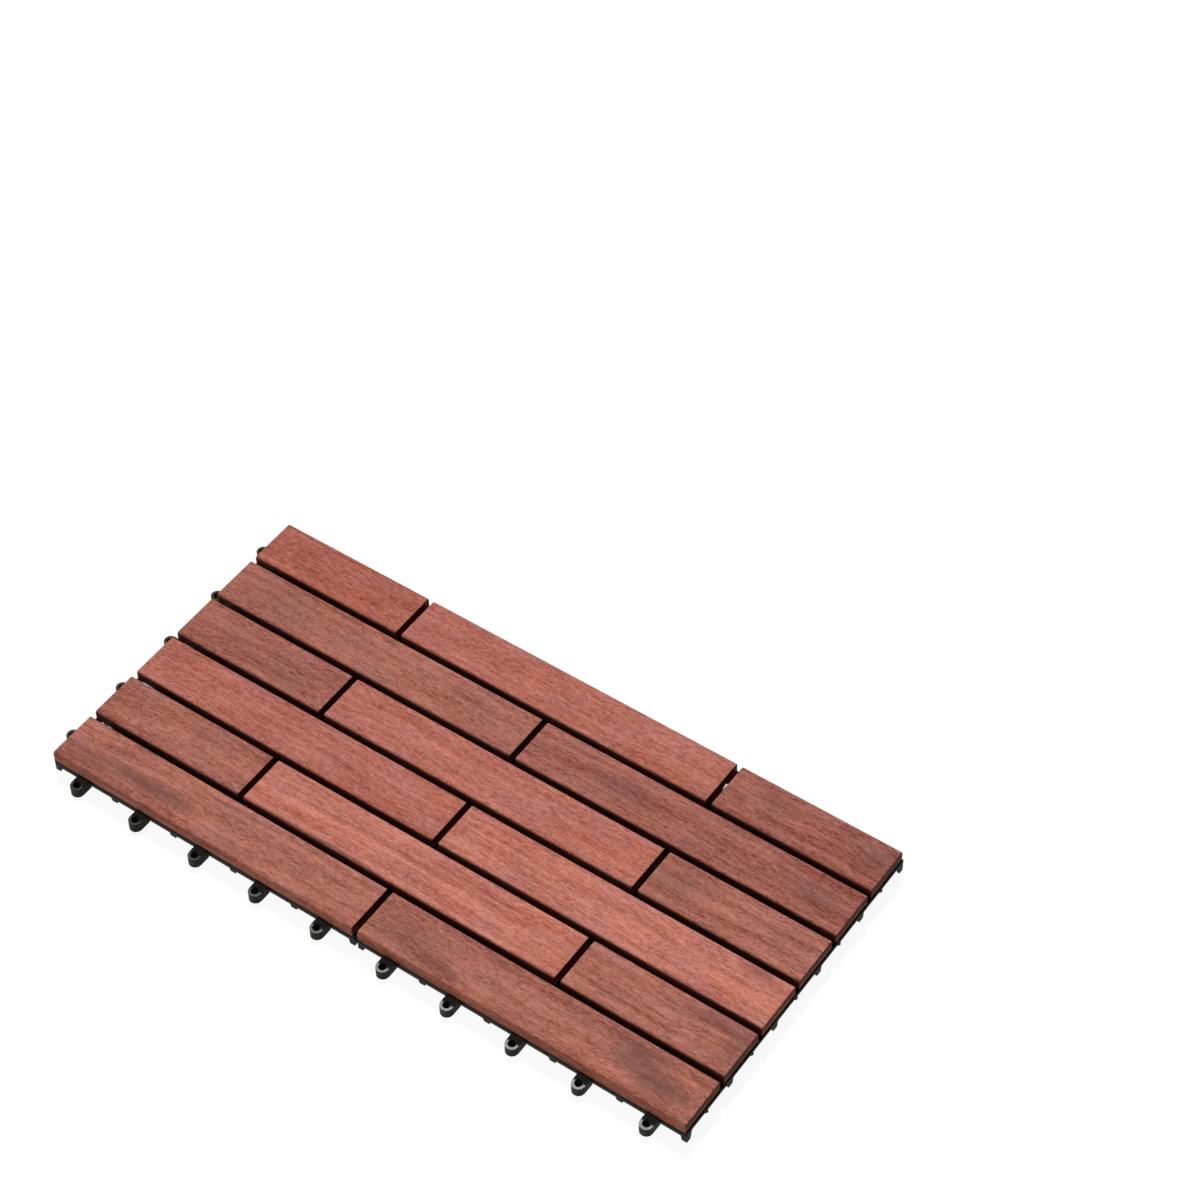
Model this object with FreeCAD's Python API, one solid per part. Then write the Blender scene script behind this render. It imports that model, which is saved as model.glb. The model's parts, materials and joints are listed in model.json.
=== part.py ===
import FreeCAD, Part
import math
import os

# Interlocking deck tile: fifteen hardwood slats screwed from below to two equal plastic grids.
# Millimetres, +Z up, slats running along X, connecting loops at the front (-Y) and left (-X).
# The origin is the middle of the footprint, loops included, at the level of the feet.

# Slats
slat_width = 45.0
slat_thickness = 10.0
slat_gap = 5.0
slat_rows = 6
grids_in_tile = 2
slat_edge_radius = 2.2
slat_edge_facets = 3
slat_end_bevel = 0.8

# Grid outline and levels
foot_drop = 4.9
rib_height = 7.7
rail_thickness = 1.8
rib_thickness = 1.8
grid_end_setback = 1.5
front_rail_inset = 0.9
back_overhang = 0.4
lattice_cells = 10
pin_flange_height = 3.2

# Connecting loops and pins
loop_past_module = 4.5
loop_hole_radius = 3.25
loop_wall = 2.3
loop_headroom = 0.3
loop_ground_gap = 0.2
loop_clearance = 0.8
loop_sides = 12
pin_radius = 2.25
pin_sides = 6
pin_ground_gap = 2.6

# Feet
foot_top_width = 8.0
foot_bottom_width = 5.0
foot_depth = 4.6
foot_face_inset = 1.0
corner_leg_top = 6.5
corner_leg_bottom = 4.6
corner_leg_wall = 2.2

# Screws, six sided like their holes, because there are many of them and the heads hide the rest
screw_rib_thickness = 5.0
screw_sides = 6
screw_head_radius = 2.6
screw_head_height = 1.4
screw_shank_radius = 1.2
screw_hole_clearance = 0.15
screw_bite = 6.5
screw_tip_gap = 0.5

# Module, the step at which one grid or tile follows the next
module = slat_rows * (slat_width + slat_gap)
field_depth = module - slat_gap
field_length = grids_in_tile * module - slat_gap

# Loop size and reach beyond the module line
loop_radius = loop_hole_radius + loop_wall
loop_reach = loop_past_module + loop_radius

# The tile's footprint, measured from the front left corner of the slats
tile_west = -slat_gap / 2 - loop_reach
tile_east = field_length + slat_gap / 2 - grid_end_setback
tile_south = -slat_gap / 2 - loop_reach
tile_north = field_depth + back_overhang
field_left = -(tile_west + tile_east) / 2
field_front = -(tile_south + tile_north) / 2

# Outline of the left grid; the right one stands one module further along X
module_left = field_left - slat_gap / 2
module_front = field_front - slat_gap / 2
module_right = module_left + module
module_back = module_front + module
grid_left = module_left + grid_end_setback
grid_right = module_right - grid_end_setback
grid_front = field_front + front_rail_inset
grid_back = field_front + field_depth + back_overhang
lattice_pitch = (grid_right - grid_left) / lattice_cells
grid_middle_x = (grid_left + grid_right) / 2
grid_middle_y = (grid_front + grid_back) / 2

# Levels above the ground
rib_bottom = foot_drop
seat = foot_drop + rib_height
flange_bottom = seat - pin_flange_height
loop_top = flange_bottom - loop_headroom
tile_top = seat + slat_thickness

# Under the pin flanges the next tile's loops need room up to these lines
loop_room_x = module_right - loop_reach - loop_clearance
loop_room_y = module_back - loop_reach - loop_clearance

# Lattice lines that carry loops and pins, feet, and screws
loop_lines = range(1, lattice_cells, 2)
foot_lines = range(2, lattice_cells, 2)
end_screw_lines = (1, lattice_cells - 1)
middle_screw_lines = (lattice_cells // 2 - 1, lattice_cells // 2 + 1)
screw_lines = end_screw_lines + middle_screw_lines


def lattice_x(line):
    return grid_middle_x + (line - lattice_cells / 2) * lattice_pitch


def lattice_y(line):
    return grid_middle_y + (line - lattice_cells / 2) * lattice_pitch


def row_middle(row):
    """Middle of a slat row; row 1 lies at the back."""
    return field_front + field_depth - slat_width / 2 - (row - 1) * (slat_width + slat_gap)


def block(x0, x1, y0, y1, z0, z1):
    return Part.makeBox(x1 - x0, y1 - y0, z1 - z0, FreeCAD.Vector(x0, y0, z0))


def tapered_block(low, high, top):
    """Block from a rectangle on the ground to another one above, each as x0, x1, y0, y1."""
    # A wedge grows along its own Y; turned upright, its Z runs backwards along Y
    upright = Part.makeWedge(low[0], 0, -low[3], -high[3], high[0],
                             low[1], top, -low[2], -high[2], high[1])
    upright.rotate(FreeCAD.Vector(0, 0, 0), FreeCAD.Vector(1, 0, 0), 90)
    return upright


def polygon(x, y, radius, z, sides):
    turns = [2 * math.pi * side / sides for side in range(sides + 1)]
    rim = [FreeCAD.Vector(x + radius * math.cos(a), y + radius * math.sin(a), z) for a in turns]
    return Part.makePolygon(rim)


def prism(x, y, radius, z0, z1, sides):
    return Part.Face(polygon(x, y, radius, z0, sides)).extrude(FreeCAD.Vector(0, 0, z1 - z0))


def row_spans(row):
    """Left and right end of each slat in a row: three in odd rows, two in even rows."""
    half = module - slat_gap
    field_right = field_left + field_length
    if row % 2 == 0:
        return {"left": (field_left, field_left + half), "right": (field_right - half, field_right)}
    quarter = module / 2 - slat_gap
    middle = field_left + quarter + slat_gap
    return {
        "left": (field_left, field_left + quarter),
        "middle": (middle, middle + half),
        "right": (field_right - quarter, field_right),
    }


def grid_holes():
    """Screw holes of the left grid: four under a row of three slats, two under a row of two."""
    places = []
    for row in range(1, slat_rows + 1):
        lines = screw_lines if row % 2 else end_screw_lines
        places += [(lattice_x(line), row_middle(row)) for line in lines]
    return places


def slat_screws(left, right, middle_y):
    """Both screws of a slat, in the outermost holes that it covers."""
    covered = [
        x + step * module
        for step in range(grids_in_tile)
        for x, y in grid_holes()
        if y == middle_y and left < x + step * module < right
    ]
    return [(min(covered), middle_y), (max(covered), middle_y)]


def screw_places():
    return [
        place
        for row in range(1, slat_rows + 1)
        for left, right in row_spans(row).values()
        for place in slat_screws(left, right, row_middle(row))
    ]


def cells():
    """The open cells between the ribs, as blocks to cut away."""
    columns = [grid_left + rail_thickness]
    for line in range(1, lattice_cells):
        half = (screw_rib_thickness if line in screw_lines else rib_thickness) / 2
        columns += [lattice_x(line) - half, lattice_x(line) + half]
    columns.append(loop_room_x - rib_thickness)
    rows = [grid_front + rail_thickness]
    for line in foot_lines:
        rows += [lattice_y(line) - rib_thickness / 2, lattice_y(line) + rib_thickness / 2]
    rows.append(loop_room_y - rib_thickness)
    return [
        block(x0, x1, y0, y1, rib_bottom, seat)
        for x0, x1 in zip(columns[::2], columns[1::2])
        for y0, y1 in zip(rows[::2], rows[1::2])
    ]


def lattice():
    """Rails and ribs, with the two pin sides cut back to a flange that loops slide under."""
    body = block(grid_left, grid_right, grid_front, grid_back, rib_bottom, seat)
    right_room = block(loop_room_x, grid_right, grid_front + rail_thickness, grid_back,
                       rib_bottom, flange_bottom)
    back_room = block(grid_left + rail_thickness, grid_right, loop_room_y, grid_back,
                      rib_bottom, flange_bottom)
    return body.cut(cells() + [right_room, back_room])


def loop(to_rail):
    """One loop about the axis of its hole, standing out towards -Y from a rail behind it."""
    nose = prism(0, 0, loop_radius, loop_ground_gap, loop_top, loop_sides)
    neck = block(-loop_radius, loop_radius, 0, to_rail, loop_ground_gap, loop_top)
    base = FreeCAD.Vector(0, 0, loop_ground_gap)
    hole = Part.makeCylinder(loop_hole_radius, loop_top - loop_ground_gap, base)
    return nose.fuse(neck).cut(hole).removeSplitter()


def loops():
    axis_x = module_left - loop_past_module
    axis_y = module_front - loop_past_module
    front = loop(grid_front + rail_thickness - axis_y)
    left = loop(grid_left + rail_thickness - axis_x)
    left.rotate(FreeCAD.Vector(0, 0, 0), FreeCAD.Vector(0, 0, 1), -90)
    found = []
    for line in loop_lines:
        found.append(front.translated(FreeCAD.Vector(lattice_x(line), axis_y, 0)))
        found.append(left.translated(FreeCAD.Vector(axis_x, lattice_y(line), 0)))
    return found


def pins():
    """Pins under the right and back flanges, where the next tile's loops come."""
    axis_x = module_right - loop_past_module
    axis_y = module_back - loop_past_module
    places = [(axis_x, lattice_y(line)) for line in loop_lines]
    places += [(lattice_x(line), axis_y) for line in loop_lines]
    return [prism(x, y, pin_radius, pin_ground_gap, flange_bottom, pin_sides) for x, y in places]


def foot(x, y, across_x, across_y, top):
    """A foot that narrows downwards; across_x and across_y are its widths at the top."""
    narrowing = (foot_top_width - foot_bottom_width) / 2
    high = (x - across_x / 2, x + across_x / 2, y - across_y / 2, y + across_y / 2)
    trim_x = narrowing if across_x == foot_top_width else 0
    trim_y = narrowing if across_y == foot_top_width else 0
    low = (high[0] + trim_x, high[1] - trim_x, high[2] + trim_y, high[3] - trim_y)
    return tapered_block(low, high, top)


def feet():
    """Feet below the rails and flanges, and two inner rows clear of the screw heads."""
    inward = foot_face_inset + foot_depth / 2
    found = []
    for line in foot_lines:
        x = lattice_x(line)
        y = lattice_y(line)
        found.append(foot(x, grid_front + inward, foot_top_width, foot_depth, rib_bottom))
        found.append(foot(x, grid_back - inward, foot_top_width, foot_depth, flange_bottom))
        found.append(foot(grid_left + inward, y, foot_depth, foot_top_width, rib_bottom))
        found.append(foot(grid_right - inward, y, foot_depth, foot_top_width, flange_bottom))
    for line_x in foot_lines:
        for line_y in foot_lines:
            if line_y in (foot_lines[0], foot_lines[-1]):
                found.append(foot(lattice_x(line_x), lattice_y(line_y), foot_top_width,
                                  foot_top_width, rib_bottom))
    return found


def corner_leg(x, y, side_x, side_y, top):
    """Angle shaped leg with its outer faces flush with the rails; the sides point inwards."""
    def span(origin, side, length):
        return sorted((origin, origin + side * length))

    low = (*span(x, side_x, corner_leg_bottom), *span(y, side_y, corner_leg_bottom))
    high = (*span(x, side_x, corner_leg_top), *span(y, side_y, corner_leg_top))
    hollow = (*span(x + side_x * corner_leg_wall, side_x, corner_leg_top),
              *span(y + side_y * corner_leg_wall, side_y, corner_leg_top))
    return tapered_block(low, high, top).cut(block(*hollow, 0, top))


def corner_legs():
    return [
        corner_leg(grid_left, grid_front, 1, 1, rib_bottom),
        corner_leg(grid_right, grid_front, -1, 1, flange_bottom),
        corner_leg(grid_left, grid_back, 1, -1, flange_bottom),
        corner_leg(grid_right, grid_back, -1, -1, flange_bottom),
    ]


def base_grid():
    """One moulding: lattice, loops, pins, feet and legs, with the screw holes cut last."""
    body = lattice().fuse(loops() + pins() + feet() + corner_legs())
    radius = screw_shank_radius + screw_hole_clearance
    holes = [prism(x, y, radius, rib_bottom, seat, screw_sides) for x, y in grid_holes()]
    return body.cut(holes).removeSplitter()


def slat_section(x, middle_y):
    """Outline across a slat: square below, with few-sided rounded edges above."""
    front = middle_y - slat_width / 2
    back = middle_y + slat_width / 2
    turns = [math.pi / 2 * step / slat_edge_facets for step in range(slat_edge_facets + 1)]
    rounding = [(slat_edge_radius * (1 - math.cos(turn)), slat_edge_radius * (1 - math.sin(turn)))
                for turn in turns]
    points = [(front, seat), (back, seat)]
    points += [(back - inward, tile_top - down) for inward, down in rounding]
    points += [(front + inward, tile_top - down) for inward, down in reversed(rounding)]
    return Part.makePolygon([FreeCAD.Vector(x, y, z) for y, z in points + points[:1]])


def slat(left, right, middle_y):
    """A board with eased top edges, its pilot holes open below."""
    section = Part.Face(slat_section(left, middle_y))
    board = section.extrude(FreeCAD.Vector(right - left, 0, 0))
    ends = [edge for edge in board.Edges
            if edge.BoundBox.ZMin > seat and edge.BoundBox.YLength > slat_width / 2]
    board = board.makeChamfer(slat_end_bevel, ends)
    radius = screw_shank_radius + screw_hole_clearance
    floor = seat + screw_bite + screw_tip_gap
    places = slat_screws(left, right, middle_y)
    return board.cut([prism(x, y, radius, seat, floor, screw_sides) for x, y in places])


def slats():
    return {
        f"slat_row{row}_{place}": slat(left, right, row_middle(row))
        for row in range(1, slat_rows + 1)
        for place, (left, right) in row_spans(row).items()
    }


def screw(x, y):
    """Flat headed screw driven upwards, its head bearing on the underside of the rib."""
    head_bottom = rib_bottom - screw_head_height
    head = prism(x, y, screw_head_radius, head_bottom, rib_bottom, screw_sides)
    shank = prism(x, y, screw_shank_radius, rib_bottom, seat + screw_bite, screw_sides)
    return head.fuse(shank)


def tile():
    left_grid = base_grid()
    nodes = {
        "base_grid_left": left_grid,
        "base_grid_right": left_grid.translated(FreeCAD.Vector(module, 0, 0)),
        "slat_screws": Part.makeCompound([screw(x, y) for x, y in screw_places()]),
    }
    nodes.update(slats())
    return nodes


os.makedirs("parts", exist_ok=True)
for name, shape in tile().items():
    shape.exportStep(f"parts/{name}.step")
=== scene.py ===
import json
import math

import bmesh
import bpy
from mathutils import Matrix, Vector


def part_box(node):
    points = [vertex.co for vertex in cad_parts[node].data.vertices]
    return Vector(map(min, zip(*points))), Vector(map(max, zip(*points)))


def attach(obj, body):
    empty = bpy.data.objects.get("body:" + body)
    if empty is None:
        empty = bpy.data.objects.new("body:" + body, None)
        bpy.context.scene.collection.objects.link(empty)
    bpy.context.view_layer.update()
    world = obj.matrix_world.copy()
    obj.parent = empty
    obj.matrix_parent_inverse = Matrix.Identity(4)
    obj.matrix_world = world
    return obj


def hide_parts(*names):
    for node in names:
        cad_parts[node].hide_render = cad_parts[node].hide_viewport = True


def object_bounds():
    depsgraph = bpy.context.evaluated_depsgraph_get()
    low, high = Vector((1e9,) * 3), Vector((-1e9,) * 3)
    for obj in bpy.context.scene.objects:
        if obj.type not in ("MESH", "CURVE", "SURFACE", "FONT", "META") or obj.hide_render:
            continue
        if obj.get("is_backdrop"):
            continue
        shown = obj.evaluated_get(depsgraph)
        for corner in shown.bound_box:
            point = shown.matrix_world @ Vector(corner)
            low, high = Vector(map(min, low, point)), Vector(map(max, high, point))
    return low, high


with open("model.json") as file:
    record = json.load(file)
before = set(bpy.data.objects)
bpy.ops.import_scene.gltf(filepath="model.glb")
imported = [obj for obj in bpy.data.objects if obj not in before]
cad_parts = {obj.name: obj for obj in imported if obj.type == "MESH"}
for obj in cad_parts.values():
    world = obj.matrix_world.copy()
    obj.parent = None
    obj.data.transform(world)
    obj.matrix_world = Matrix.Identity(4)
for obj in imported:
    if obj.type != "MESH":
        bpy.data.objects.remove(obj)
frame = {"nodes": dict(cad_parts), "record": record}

bl_info = {
    "name": "Interlocking Deck Tile",
    "version": (1, 0, 0),
    "blender": (4, 5, 0),
    "location": "View3D > Sidebar > Deck Tile",
    "description": "Dresses a hardwood deck tile: oiled slats, moulded plastic grids and their screws",
    "category": "Object",
}

MM = 0.001
SLATS = sorted(name for name in frame["nodes"] if name.startswith("slat_row"))
GRIDS = ("base_grid_left", "base_grid_right")
SCREWS = "slat_screws"
FRONT_EDGE = min(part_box(slat)[0].y for slat in SLATS)
FRONT_SLATS = [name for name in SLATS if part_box(name)[0].y < FRONT_EDGE + MM]

# The camera of the photograph, which is square: its place and how far it sees in metres, its angles
# in degrees, its lens and sensor in millimetres
CAMERA_PLACE = Vector((0.95995, -1.16397, 1.96547))
CAMERA_REACH = 50.0
CAMERA_AZIMUTH = -35.404
CAMERA_ELEVATION = 48.625
CAMERA_ROLL = -0.5245
CAMERA_LENS = 95.72
CAMERA_SENSOR = 36.0

# The suns: the width of each in degrees, and the direction towards it. The key stands high behind
# the tile's left, where by calculation the loops from the fifth on mirror it and the first four
# don't. The fill is low before the front edge
KEY_WIDTH = 9
KEY_SIDE = (-0.33, 0.434, 0.837)
FILL_WIDTH = 50
FILL_SIDE = (-0.45, -0.70, 0.50)

WHITE = (1.0, 1.0, 1.0, 1.0)

# The floor: its colour in the open and in the painted shade, how much the open floor glows to the
# camera, and the colour that takes a faint shadow on top of that glow
FLOOR_OPEN = "#d8d8d8"
FLOOR_SHADED = "#3c3c3c"
FLOOR_GLOW = 0.92
FLOOR_FAINT = (0.1, 0.1, 0.1, 1.0)

# How finely the pieces are drawn
BOARD_RINGS = 50
EDGE_STEPS = 6
BEVEL_STEPS = 2
HEAD_SIDES = 28
SHANK_SIDES = 14
THREAD_STEPS = 12
THREAD_SIDES = 3

# Packed points this close are one point, and packed faces this nearly level are one face
WELD = 0.005 * MM
LEVEL_ANGLE = math.radians(1)

# An edge is rounded, or left sharp on the screws, where its faces meet at more than this
BEVEL_ANGLE = math.radians(40)
SHARP_ANGLE = math.radians(35)


def linear(code):
    """An sRGB hex colour as linear RGBA."""
    parts = [int(code[at:at + 2], 16) / 255 for at in (1, 3, 5)]
    return (*[p / 12.92 if p <= 0.04045 else ((p + 0.055) / 1.055) ** 2.4 for p in parts], 1.0)


def add(tree, kind, sockets=None, **settings):
    """Adds a node, sets it, and fills or links its inputs by name or number."""
    node = tree.nodes.new(kind)
    for name, value in settings.items():
        setattr(node, name, value)
    for key, value in (sockets or {}).items():
        if isinstance(value, bpy.types.NodeSocket):
            tree.links.new(value, node.inputs[key])
        else:
            node.inputs[key].default_value = value
    return node


def calc(tree, operation, *values, **settings):
    """A maths node over values or sockets."""
    return add(tree, "ShaderNodeMath", dict(enumerate(values)), operation=operation, **settings).outputs[0]


def remap(tree, value, low_in=0.0, high_in=1.0, low_out=0.0, high_out=1.0):
    """Carries a value from one range to another and holds it at both ends."""
    return add(tree, "ShaderNodeMapRange", {
        "Value": value, "From Min": low_in, "From Max": high_in, "To Min": low_out, "To Max": high_out,
    }).outputs["Result"]


def mix(tree, factor, first, second, blend_type="MIX"):
    """Mixes two colours. With MULTIPLY the second tints the first."""
    return add(tree, "ShaderNodeMix", {
        "Factor": factor, "A": first, "B": second,
    }, data_type="RGBA", blend_type=blend_type).outputs["Result"]


def noise(tree, place, scale, detail=2.0, roughness=0.5):
    return add(tree, "ShaderNodeTexNoise", {
        "Vector": place, "Scale": scale, "Detail": detail, "Roughness": roughness,
    }).outputs["Fac"]


def split(tree, vector):
    """The X, Y and Z of a vector."""
    return add(tree, "ShaderNodeSeparateXYZ", {0: vector}).outputs


def join(tree, **parts):
    """A vector from its X, Y and Z. Those that aren't given are 0."""
    return add(tree, "ShaderNodeCombineXYZ", parts).outputs[0]


def coat(tree, geometry, material, out):
    """Ends a geometry tree: plain geometry in this material goes to its output."""
    real = add(tree, "GeometryNodeRealizeInstances", {"Geometry": geometry}).outputs[0]
    coated = add(tree, "GeometryNodeSetMaterial", {"Geometry": real, "Material": material}).outputs[0]
    tree.links.new(coated, out.inputs[0])


def new_material(name):
    material = bpy.data.materials.new(name)
    material.use_nodes = True
    material.node_tree.nodes.clear()
    return material, material.node_tree


def new_tree(name, inputs):
    """A geometry node tree with one geometry output and the named inputs."""
    tree = bpy.data.node_groups.new(name, "GeometryNodeTree")
    for label, kind in inputs.items():
        tree.interface.new_socket(name=label, in_out="INPUT", socket_type=kind)
    tree.interface.new_socket(name="Geometry", in_out="OUTPUT", socket_type="NodeSocketGeometry")
    return tree, add(tree, "NodeGroupInput").outputs, add(tree, "NodeGroupOutput")


def grow(tree, name, values, mesh=None):
    """Runs a node tree with these inputs and returns the result as a plain mesh object."""
    holder = bpy.data.objects.new(name, mesh or bpy.data.meshes.new(name))
    bpy.context.scene.collection.objects.link(holder)
    modifier = holder.modifiers.new("grow", "NODES")
    modifier.node_group = tree
    for item in tree.interface.items_tree:
        if item.in_out == "INPUT" and item.name in values:
            modifier[item.identifier] = values[item.name]
    bpy.context.view_layer.update()
    graph = bpy.context.evaluated_depsgraph_get()
    result = bpy.data.meshes.new_from_object(holder.evaluated_get(graph))
    holder.modifiers.remove(modifier)
    holder.data = result
    return holder


def settle(piece):
    """Turns a piece with its modifiers into a plain mesh, smooth at its rounded edges while its level
    faces stay level to the light."""
    piece.data.shade_smooth()
    piece.modifiers.new("level_faces", "WEIGHTED_NORMAL").weight = 100
    bpy.context.view_layer.update()
    graph = bpy.context.evaluated_depsgraph_get()
    result = bpy.data.meshes.new_from_object(piece.evaluated_get(graph))
    piece.modifiers.clear()
    piece.data = result


def dress(piece, slot, *nodes):
    """Puts a finished piece on the part in place of CAD nodes."""
    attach(piece, "root")
    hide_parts(*nodes)


# Five shades of the same reddish oiled hardwood, each from its dark grain to its light grain. They
# were set against the photograph, so its light is partly in them
SHADES = {
    "brick": ("#843925", "#ca7e6c"),
    "rose": ("#914836", "#d28878"),
    "salmon": ("#9c5140", "#dc9381"),
    "umber": ("#753323", "#bc7a6b"),
    "clay": ("#7e4030", "#c58271"),
}

# For each slat: its shade, its tone at the left and right end, and how strong its streaks are
SLAT_LOOKS = {
    "slat_row1_left": ("brick", 0.00, 0.01, 0.7),
    "slat_row1_middle": ("rose", -0.03, -0.02, 0.9),
    "slat_row1_right": ("umber", 0.04, -0.04, 1.3),
    "slat_row2_left": ("clay", -0.04, 0.10, 0.8),
    "slat_row2_right": ("umber", 0.08, -0.02, 1.2),
    "slat_row3_left": ("umber", 0.08, 0.11, 0.8),
    "slat_row3_middle": ("rose", 0.04, 0.05, 0.9),
    "slat_row3_right": ("clay", 0.04, 0.00, 1.1),
    "slat_row4_left": ("rose", -0.04, 0.01, 0.8),
    "slat_row4_right": ("salmon", 0.00, 0.00, 1.0),
    "slat_row5_left": ("clay", -0.02, -0.03, 0.9),
    "slat_row5_middle": ("salmon", -0.01, 0.00, 1.3),
    "slat_row5_right": ("clay", 0.14, 0.00, 1.2),
    "slat_row6_left": ("clay", 0.02, 0.14, 1.1),
    "slat_row6_right": ("clay", -0.02, -0.02, 1.0),
}

# Mineral smudges, each as the slat, its middle from the slat's front left corner, its length and
# width in millimetres, and its strength
SMUDGES = (
    ("slat_row6_left", 34, 15, 64, 16, 0.60),
    ("slat_row6_left", 88, 17, 92, 16, 0.80),
    ("slat_row6_left", 140, 37, 70, 6, 0.40),
    ("slat_row6_left", 182, 9, 60, 7, 0.25),
    ("slat_row6_right", 38, 24, 86, 34, 0.32),
    ("slat_row6_right", 74, 9, 36, 9, 0.50),
    ("slat_row6_right", 238, 30, 54, 36, 0.75),
    ("slat_row6_right", 264, 16, 48, 26, 0.75),
    ("slat_row5_left", 88, 30, 36, 12, 0.35),
    ("slat_row5_middle", 85, 2, 130, 4, 0.60),
    ("slat_row5_right", 118, 37, 62, 13, 0.70),
    ("slat_row5_right", 138, 24, 22, 34, 0.50),
    ("slat_row4_right", 266, 40, 34, 12, 0.50),
    ("slat_row4_right", 112, 6, 20, 6, 0.35),
    ("slat_row3_left", 42, 22, 36, 18, 0.35),
    ("slat_row3_left", 102, 12, 56, 12, 0.45),
    ("slat_row3_right", 20, 24, 48, 36, 0.40),
    ("slat_row2_left", 42, 24, 100, 40, 0.28),
    ("slat_row2_left", 232, 34, 36, 6, 0.35),
    ("slat_row2_right", 90, 22, 72, 22, 0.40),
    ("slat_row2_right", 262, 22, 68, 28, 0.45),
    ("slat_row1_right", 44, 28, 46, 17, 0.50),
    ("slat_row1_right", 130, 26, 34, 36, 0.55),
)

# Each slat is cut from another place in the noise and turned a little. Steps from slat to slat in
# metres and in radians, and the largest turn in degrees
GRAIN_STEP = (0.71, 0.37, 0.19)
TURN_STEP = 2.1
TURN_MOST = 1.2

# How often the grain wanders, in waves per metre
WANDER_WAVES = 11.0

# How far each layer of the grain swings the tone
FIGURE_GAIN = 0.60
BAND_GAIN = 1.1
FIBRE_GAIN = 2.2
CURL_GAIN = 0.8

# Noise lies about 0.5 and seldom outside the first range. A pore is full at the lower value of the
# second and gone at the upper. The red drifts from cool to warm over the third
NOISE_RANGE = (0.3, 0.7)
PORE_RANGE = (0.30, 0.40)
DRIFT_RANGE = (0.35, 0.65)
PORE_DEPTH = 0.35

# How much rougher than the mean the dark fibres are, and how much smoother the light ones
GLOSS_SWING = 0.06

# A smudge's ragged edge: the length and width of its noise, and how much of it is added to the
# distance from the middle. The smudge fades out over a range of that sum, in halves of its size
SMUDGE_NOISE = (22 * MM, 5 * MM)
SMUDGE_RAGGED = 1.6
SMUDGE_FADE = (0.9, 2.0)

# The values of the normal between which a face of a slat turns from side to top, from side to end
# and from front to side, and a face of the plastic turns into a level land
SIDE_FACING = (0.30, 0.95)
END_FACING = (0.4, 0.8)
FRONT_FACING = (-0.5, 0.0)
LAND_FACING = (0.90, 0.98)

# The height over which the paler lower walls fade into the painted shade close under the slats
PAINTED_SHADE_FADE = 1.0 * MM

# Zinc: its tones, the size of its haze, and its roughness where the haze is dark and light
ZINC_DULL = "#b9b6ad"
ZINC_BRIGHT = "#d3d1c9"
ZINC_HAZE = 0.6 * MM
ZINC_ROUGHNESS = (0.28, 0.45)

# A screw's lowest ring of points: how high it reaches and how wide it is at most
RING_HEIGHT = 0.1 * MM
RING_SPAN = 8 * MM

# A screw's shape: the head's lower rim and its recess in head radii, the tip and the thread's end in
# shank radii, and the thread's length and start in screw lengths
HEAD_RIM = 0.82
RECESS_SPAN = 1.15
SHANK_TIP = 0.45
THREAD_TIP = 0.6
THREAD_SHARE = 0.6
THREAD_START = 0.38
TURN_SEED = 7


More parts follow.
